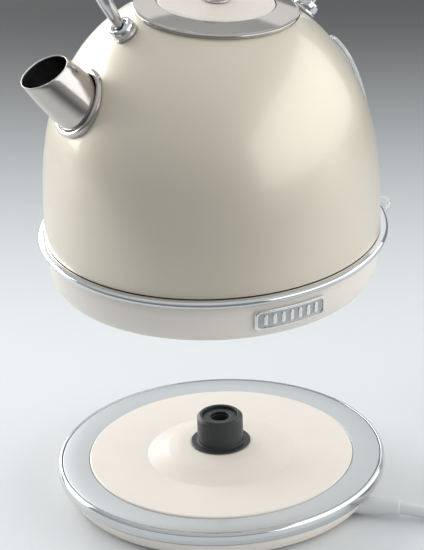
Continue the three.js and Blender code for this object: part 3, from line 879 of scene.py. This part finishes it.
def add_spout(finishes):
    outwards = Vector((-math.cos(math.radians(spout_rise)), 0, math.sin(math.radians(spout_rise))))
    past_mouth = Vector((-math.cos(math.radians(MOUTH_RISE)), 0, math.sin(math.radians(MOUTH_RISE))))

    def ring(t, inset):
        """Between the root, t = 0, and the mouth, t = 1."""
        centre = (SPOUT_ROOT + outwards * ROOT_OUT).lerp(MOUTH, t)
        rise = spout_rise + (MOUTH_RISE - spout_rise) * t
        halves = [SPOUT_ROOT_R + (half - SPOUT_ROOT_R) * t - inset for half in MOUTH_HALF]
        return ellipse(centre, rise, *halves)

    spans = [i / SPOUT_STEPS for i in range(SPOUT_STEPS + 1)]
    within = SPOUT_ROOT - outwards * ROOT_DEPTH
    outside = [ellipse(within, spout_rise, SPOUT_ROOT_R, SPOUT_ROOT_R)]
    outside += [ring(t, 0) for t in spans]
    half = SPOUT_WALL / 2
    lip = []
    for step in range(1, LIP_STEPS):
        angle = math.pi * step / LIP_STEPS
        halves = [side - half + half * math.cos(angle) for side in MOUTH_HALF]
        lip.append(ellipse(MOUTH + past_mouth * half * math.sin(angle), MOUTH_RISE, *halves))
    inner_root = SPOUT_ROOT_R - SPOUT_WALL
    inside = [ring(t, SPOUT_WALL) for t in reversed(spans)]
    inside += [ellipse(within, spout_rise, inner_root, inner_root)]
    tube = lofted("spout_tube_fine", outside + lip + inside, DOME, closed=True)
    show(tube, *finishes["spout"], "spout_tube")
    # the inside of the tube takes the dark copy of the steel: painted shade
    tube.data.materials.append(finishes["spout_painted_shade"][1])
    first_inside = (len(outside) + len(lip)) * len(inside[0])
    for face in tube.data.polygons[first_inside:-len(inside[0])]:
        face.material_index = 1
    collar = [
        (16.2, -3.6), (19.6, -3.6), (19.7, -0.2, 0.6), (19.3, 0.7, 0.6), (18.4, 1.3, 0.8),
        (17.3, 1.3, 0.8), (16.5, 0.9, 0.3), (16.2, 0.2, 0.2),
    ]
    made = turned("spout_collar_fine", rounded(collar), SPOUT, 128)
    dome = turned("dome", [*reversed(dome_outline(-6)), *dome_outline(0.3)], KETTLE, DOME_STEPS)
    show(carved(made, dome), *finishes["spout"], "spout_collar")


# ---------- handle and lid ----------

ARM = [
    (56.5, 71.7), (61, 79.2), (65.5, 86.7), (70.3, 94.6), (75.5, 104), (79, 114.5), (80.6, 125),
    (78.9, 135.2), (73.8, 142.9), (68, 145.8), (62.6, 146),
]
ARM_R = 4
ARM_TAPER = (0.7, 0.86)  # of that radius, at the lug and at the next point
GRIP_STEPS = 16          # from the grip's middle to each end
HALF_SEAM = 0.15         # half of the seam between the grip's two pieces


def add_handle(finishes):
    lug = [
        (0, 86.3), (7.1, 86.3, 0.2), (7.2, 87, 0.3), (6.6, 87.7, 0.4), (7, 89.6, 2), (6.7, 91.6, 1),
        (5.6, 92.8, 0.6), (4.4, 92.6, 0.6), (3.9, 91.6, 0.6), (3.9, 90.6), (0, 90.6),
    ]
    for side, name in [(-1, "front"), (1, "rear")]:
        made = turned(f"{name}_lug_fine", rounded(lug), TOP @ turn(side * LUG_POLAR, "Y"), KNOB_STEPS)
        show(made, *finishes["chrome"], f"{name}_lug")
        arm = swept(f"{name}_handle_arm_fine", [(side * x, 0, z) for x, z in ARM], ARM_R, TOP, 8)
        for knot, share in zip(arm.data.splines[0].bezier_points, ARM_TAPER):
            knot.radius *= share
        show(arm, *finishes["chrome"], f"{name}_handle_arm")

    axis = GRIP @ turn(90, "Y")
    swell = []
    for i in range(-GRIP_STEPS, GRIP_STEPS + 1):
        along = GRIP_HALF * i / GRIP_STEPS
        swell.append((GRIP_END_R + GRIP_SWELL * math.sqrt(1 - (along / (GRIP_HALF + 2)) ** 2), along))
    outline = [(0, -GRIP_HALF), *swell, (0, GRIP_HALF)]
    upper = turned("grip_upper_fine", outline, axis, 96)
    carved(upper, box("below", (-70, -20, -20), (70, 20, HALF_SEAM), GRIP))
    show(softened(upper, 0.3), *finishes["ivory"], "grip_upper")
    lower = turned("grip_lower_fine", outline, axis, 96)
    spots = [GRIP @ Matrix.Translation((x, 0, 0)) for x in GRIP_SCREWS]
    pockets = [cylinder("pocket", 2.9, -20, -6.2, spot, 32) for spot in spots]
    carved(lower, box("above", (-70, -20, -HALF_SEAM), (70, 20, 20), GRIP), *pockets)
    show(softened(lower, 0.3), *finishes["ivory"], "grip_lower")
    for i, spot in enumerate(spots):
        add_screw(f"grip_screw_{i + 1}", 2.5, -8.2, -6.5, spot, finishes)


def add_lid(finishes):
    parts = {
        "neck_ring": ("lid_steel", [(39.2, 58), (40.5, 58), (40.5, 75, 0.3), (39.9, 75.6), (39.2, 75.6)]),
        "lid_ring": ("lid_steel", [
            (32.4, 79.4, 0.1), (43.5, 76.4, 0.2), (44.3, 76.55, 0.5), (45.25, 75.95, 0.7), (45.4, 75, 0.6),
            (44.9, 74.3, 0.5), (44, 74.15, 0.5), (43.2, 74.6), (42.8, 75.5), (32.4, 78.4, 0.1),
        ]),
        "lid_centre": ("ivory", [
            (0, 80.4), (20, 80.2, 60), (29, 79.8, 8), (31.6, 79.3, 0.8), (32, 78.6, 0.4), (32, 77.2),
            (30, 76.6), (0, 76.6),
        ]),
        "lid_inner_cup": ("steel", [
            (0, 75.8), (36, 75.8, 0.6), (37.6, 74.8, 0.8), (37.6, 62, 0.3), (36.4, 62, 0.3),
            (36.4, 73.8, 0.5), (0, 73.8),
        ]),
        "lid_seal": ("silicone", [(37.9, 66), (38.8, 66.6), (38.8, 68.4), (37.9, 69)]),
        "knob_stem": ("chrome", [
            (0, 80.8), (7.5, 80.8), (7.6, 81.5, 0.4), (4.6, 82.8, 1), (3.4, 85.5, 3), (3.6, 89), (0, 89),
        ]),
        "lid_knob": ("ivory", [
            (0, 89.3), (5, 89.3, 1), (10.2, 91.6, 5), (12.8, 95.2, 5), (12.6, 98.8, 5), (9.8, 102, 5),
            (5, 103.7, 8), (0, 104),
        ]),
    }
    for node, (finish, corners) in parts.items():
        steps = KNOB_STEPS if "knob" in node else RIM_STEPS
        show(turned(f"{node}_fine", rounded(corners, steps=6), TOP, steps), *finishes[finish], node)


# ---------- switch ----------

LEVER_ROOT = 87.6
LEVER_TIP = 110.8


def tongue(root, reach, half):
    """The outline of a flat piece that sticks out to the rear and has a round end."""
    bends = [math.radians(a) for a in range(-90, 91, 6)]
    end = [(reach - half + half * math.cos(a), half * math.sin(a)) for a in bends]
    return [(root, -half), *end, (root, half)]


def add_switch(finishes):
    lever = extruded("switch_lever_fine", tongue(LEVER_ROOT, LEVER_TIP, 8), -9.7, -6.8, KETTLE)
    show(softened(lever, 1.1, 4), *finishes["clear"], "switch_lever")
    trim = extruded("switch_trim_fine", tongue(LEVER_ROOT + 2, LEVER_TIP - 4, 5.2), -17, -10.1, KETTLE)
    ridges = [
        extruded("ridge", tongue(LEVER_ROOT + 2, LEVER_TIP - less, half), low, high, KETTLE)
        for less, half, low, high in ((1.1, 7.2, -12.2, -10), (2.4, 6.4, -14.8, -12.9))
    ]
    show(softened(joined(trim, *ridges), 0.35), *finishes["chrome"], "switch_trim")


# ---------- studio ----------

BACKWARDS = (0.438, 0.899, 0)  # over the floor, away from the camera of the main view
FLOOR_PALE = 0.80
FLOOR_PAINTED_SHADE = [  # metres along BACKWARDS, and how pale the sheet is there; the grey is painted shade
    (-0.9, 0.25), (-0.52, 0.13), (-0.19, FLOOR_PALE), (0.1, FLOOR_PALE), (0.755, 0.045), (1.3, 0.22),
]


def add_floor():
    """A sheet that is pale round the kettle and greys to its front and back, along BACKWARDS: painted shade that
    stands in for the light falling off away from the kettle.
    """
    sheet = cylinder("floor_sheet", 6000, -6, -0.02, steps=96)
    made = Finish("floor_paper", (0.80, 0.81, 0.82), 0.0, 0.55)
    place = made.node("ShaderNodeTexCoord").outputs["Object"]
    reach = made.node("ShaderNodeVectorMath", operation="DOT_PRODUCT")
    reach.inputs[1].default_value = BACKWARDS
    made.tree.links.new(place, reach.inputs[0])
    # painted shade: the ramp greys the sheet away from the kettle, front and back
    ramp = made.node("ShaderNodeValToRGB")
    ramp.color_ramp.interpolation = "EASE"
    nearest, farthest = FLOOR_PAINTED_SHADE[0][0], FLOOR_PAINTED_SHADE[-1][0]
    while len(ramp.color_ramp.elements) < len(FLOOR_PAINTED_SHADE):
        ramp.color_ramp.elements.new(0.5)
    for element, (metres, value) in zip(ramp.color_ramp.elements, FLOOR_PAINTED_SHADE):
        element.position = (metres - nearest) / (farthest - nearest)
        element.color = (0.97 * value, value, 1.02 * value, 1)
    spread = made.node("ShaderNodeMapRange")
    spread.inputs["From Min"].default_value = nearest
    spread.inputs["From Max"].default_value = farthest
    made.tree.links.new(reach.outputs["Value"], spread.inputs["Value"])
    made.tree.links.new(spread.outputs["Result"], ramp.inputs["Fac"])
    made.tree.links.new(ramp.outputs["Color"], made.shader.inputs["Base Color"])
    sheet.data.materials.append(made.material)


def add_soft_box(name, azimuth, elevation, distance_m, size_m, watts):
    """A soft light that faces the kettle. Azimuth is counted as the camera's is."""
    light = bpy.data.lights.new(name, "AREA")
    light.shape = "RECTANGLE"
    light.size, light.size_y = size_m
    light.energy = watts
    holder = bpy.data.objects.new(name, light)
    aim = turn(azimuth, "Z") @ turn(90 - elevation, "X")
    target = Matrix.Translation((0, 0, (ring_z + DOME_CENTRE) * MM))
    holder.matrix_world = target @ aim @ Matrix.Translation((0, 0, distance_m))
    bpy.context.scene.collection.objects.link(holder)


def grey_sky(level, overhead):
    """A world that brightens from the horizon to straight above."""
    world = bpy.data.worlds.new("studio")
    world.use_nodes = True
    tree = world.node_tree
    background = tree.nodes["Background"]
    background.inputs["Color"].default_value = (0.97, 1.0, 1.015, 1)
    axes = tree.nodes.new("ShaderNodeSeparateXYZ")
    tree.links.new(tree.nodes.new("ShaderNodeTexCoord").outputs["Generated"], axes.inputs[0])
    height = tree.nodes.new("ShaderNodeMapRange")
    height.inputs["To Min"].default_value = level
    height.inputs["To Max"].default_value = overhead
    tree.links.new(axes.outputs["Z"], height.inputs["Value"])
    tree.links.new(height.outputs["Result"], background.inputs["Strength"])
    return world


def add_studio():
    add_floor()
    add_soft_box("key_right", 58, 18, 2.6, (6.4, 2.0), 60)
    add_soft_box("box_left", -158, 12, 1.6, (1.9, 0.9), 25)
    add_soft_box("box_back", 154, 24, 1.9, (2.2, 0.7), 3)
    bpy.context.scene.world = grey_sky(0.24, 0.80)
    bpy.context.scene.view_settings.view_transform = "Standard"


# ---------- the whole scene ----------

add_camera()
vinyl = cord_vinyl()
steel = plain_steel()
add_cord(vinyl, steel)

finishes = {
    "pearl": ("pearl", pearl()),
    "ivory": ("ivory", ivory()),
    "chrome": ("chrome", chrome()),
    "lid_steel": ("steel", polished_steel()),
    "satin": ("steel", satin_steel()),
    "spout": ("steel", spout_steel()),
    "spout_painted_shade": ("steel", spout_painted_shade()),
    "plate": ("steel", plate_metal()),
    "plate_field": ("steel", plate_field()),
    "steel": ("steel", steel),
    "black": ("black", black_plastic()),
    "clear": ("clear", clear_plastic()),
    "rubber": ("foot_rubber", rubber()),
    "silicone": ("silicone", silicone()),
    "brass": ("brass", brass()),
    "aluminium": ("aluminium", aluminium()),
}
add_base(finishes)
add_body(finishes)
add_gauge(finishes)
add_foot(finishes)
add_name_plate(finishes)
add_inside(finishes)
add_spout(finishes)
add_handle(finishes)
add_lid(finishes)
add_switch(finishes)
add_studio()
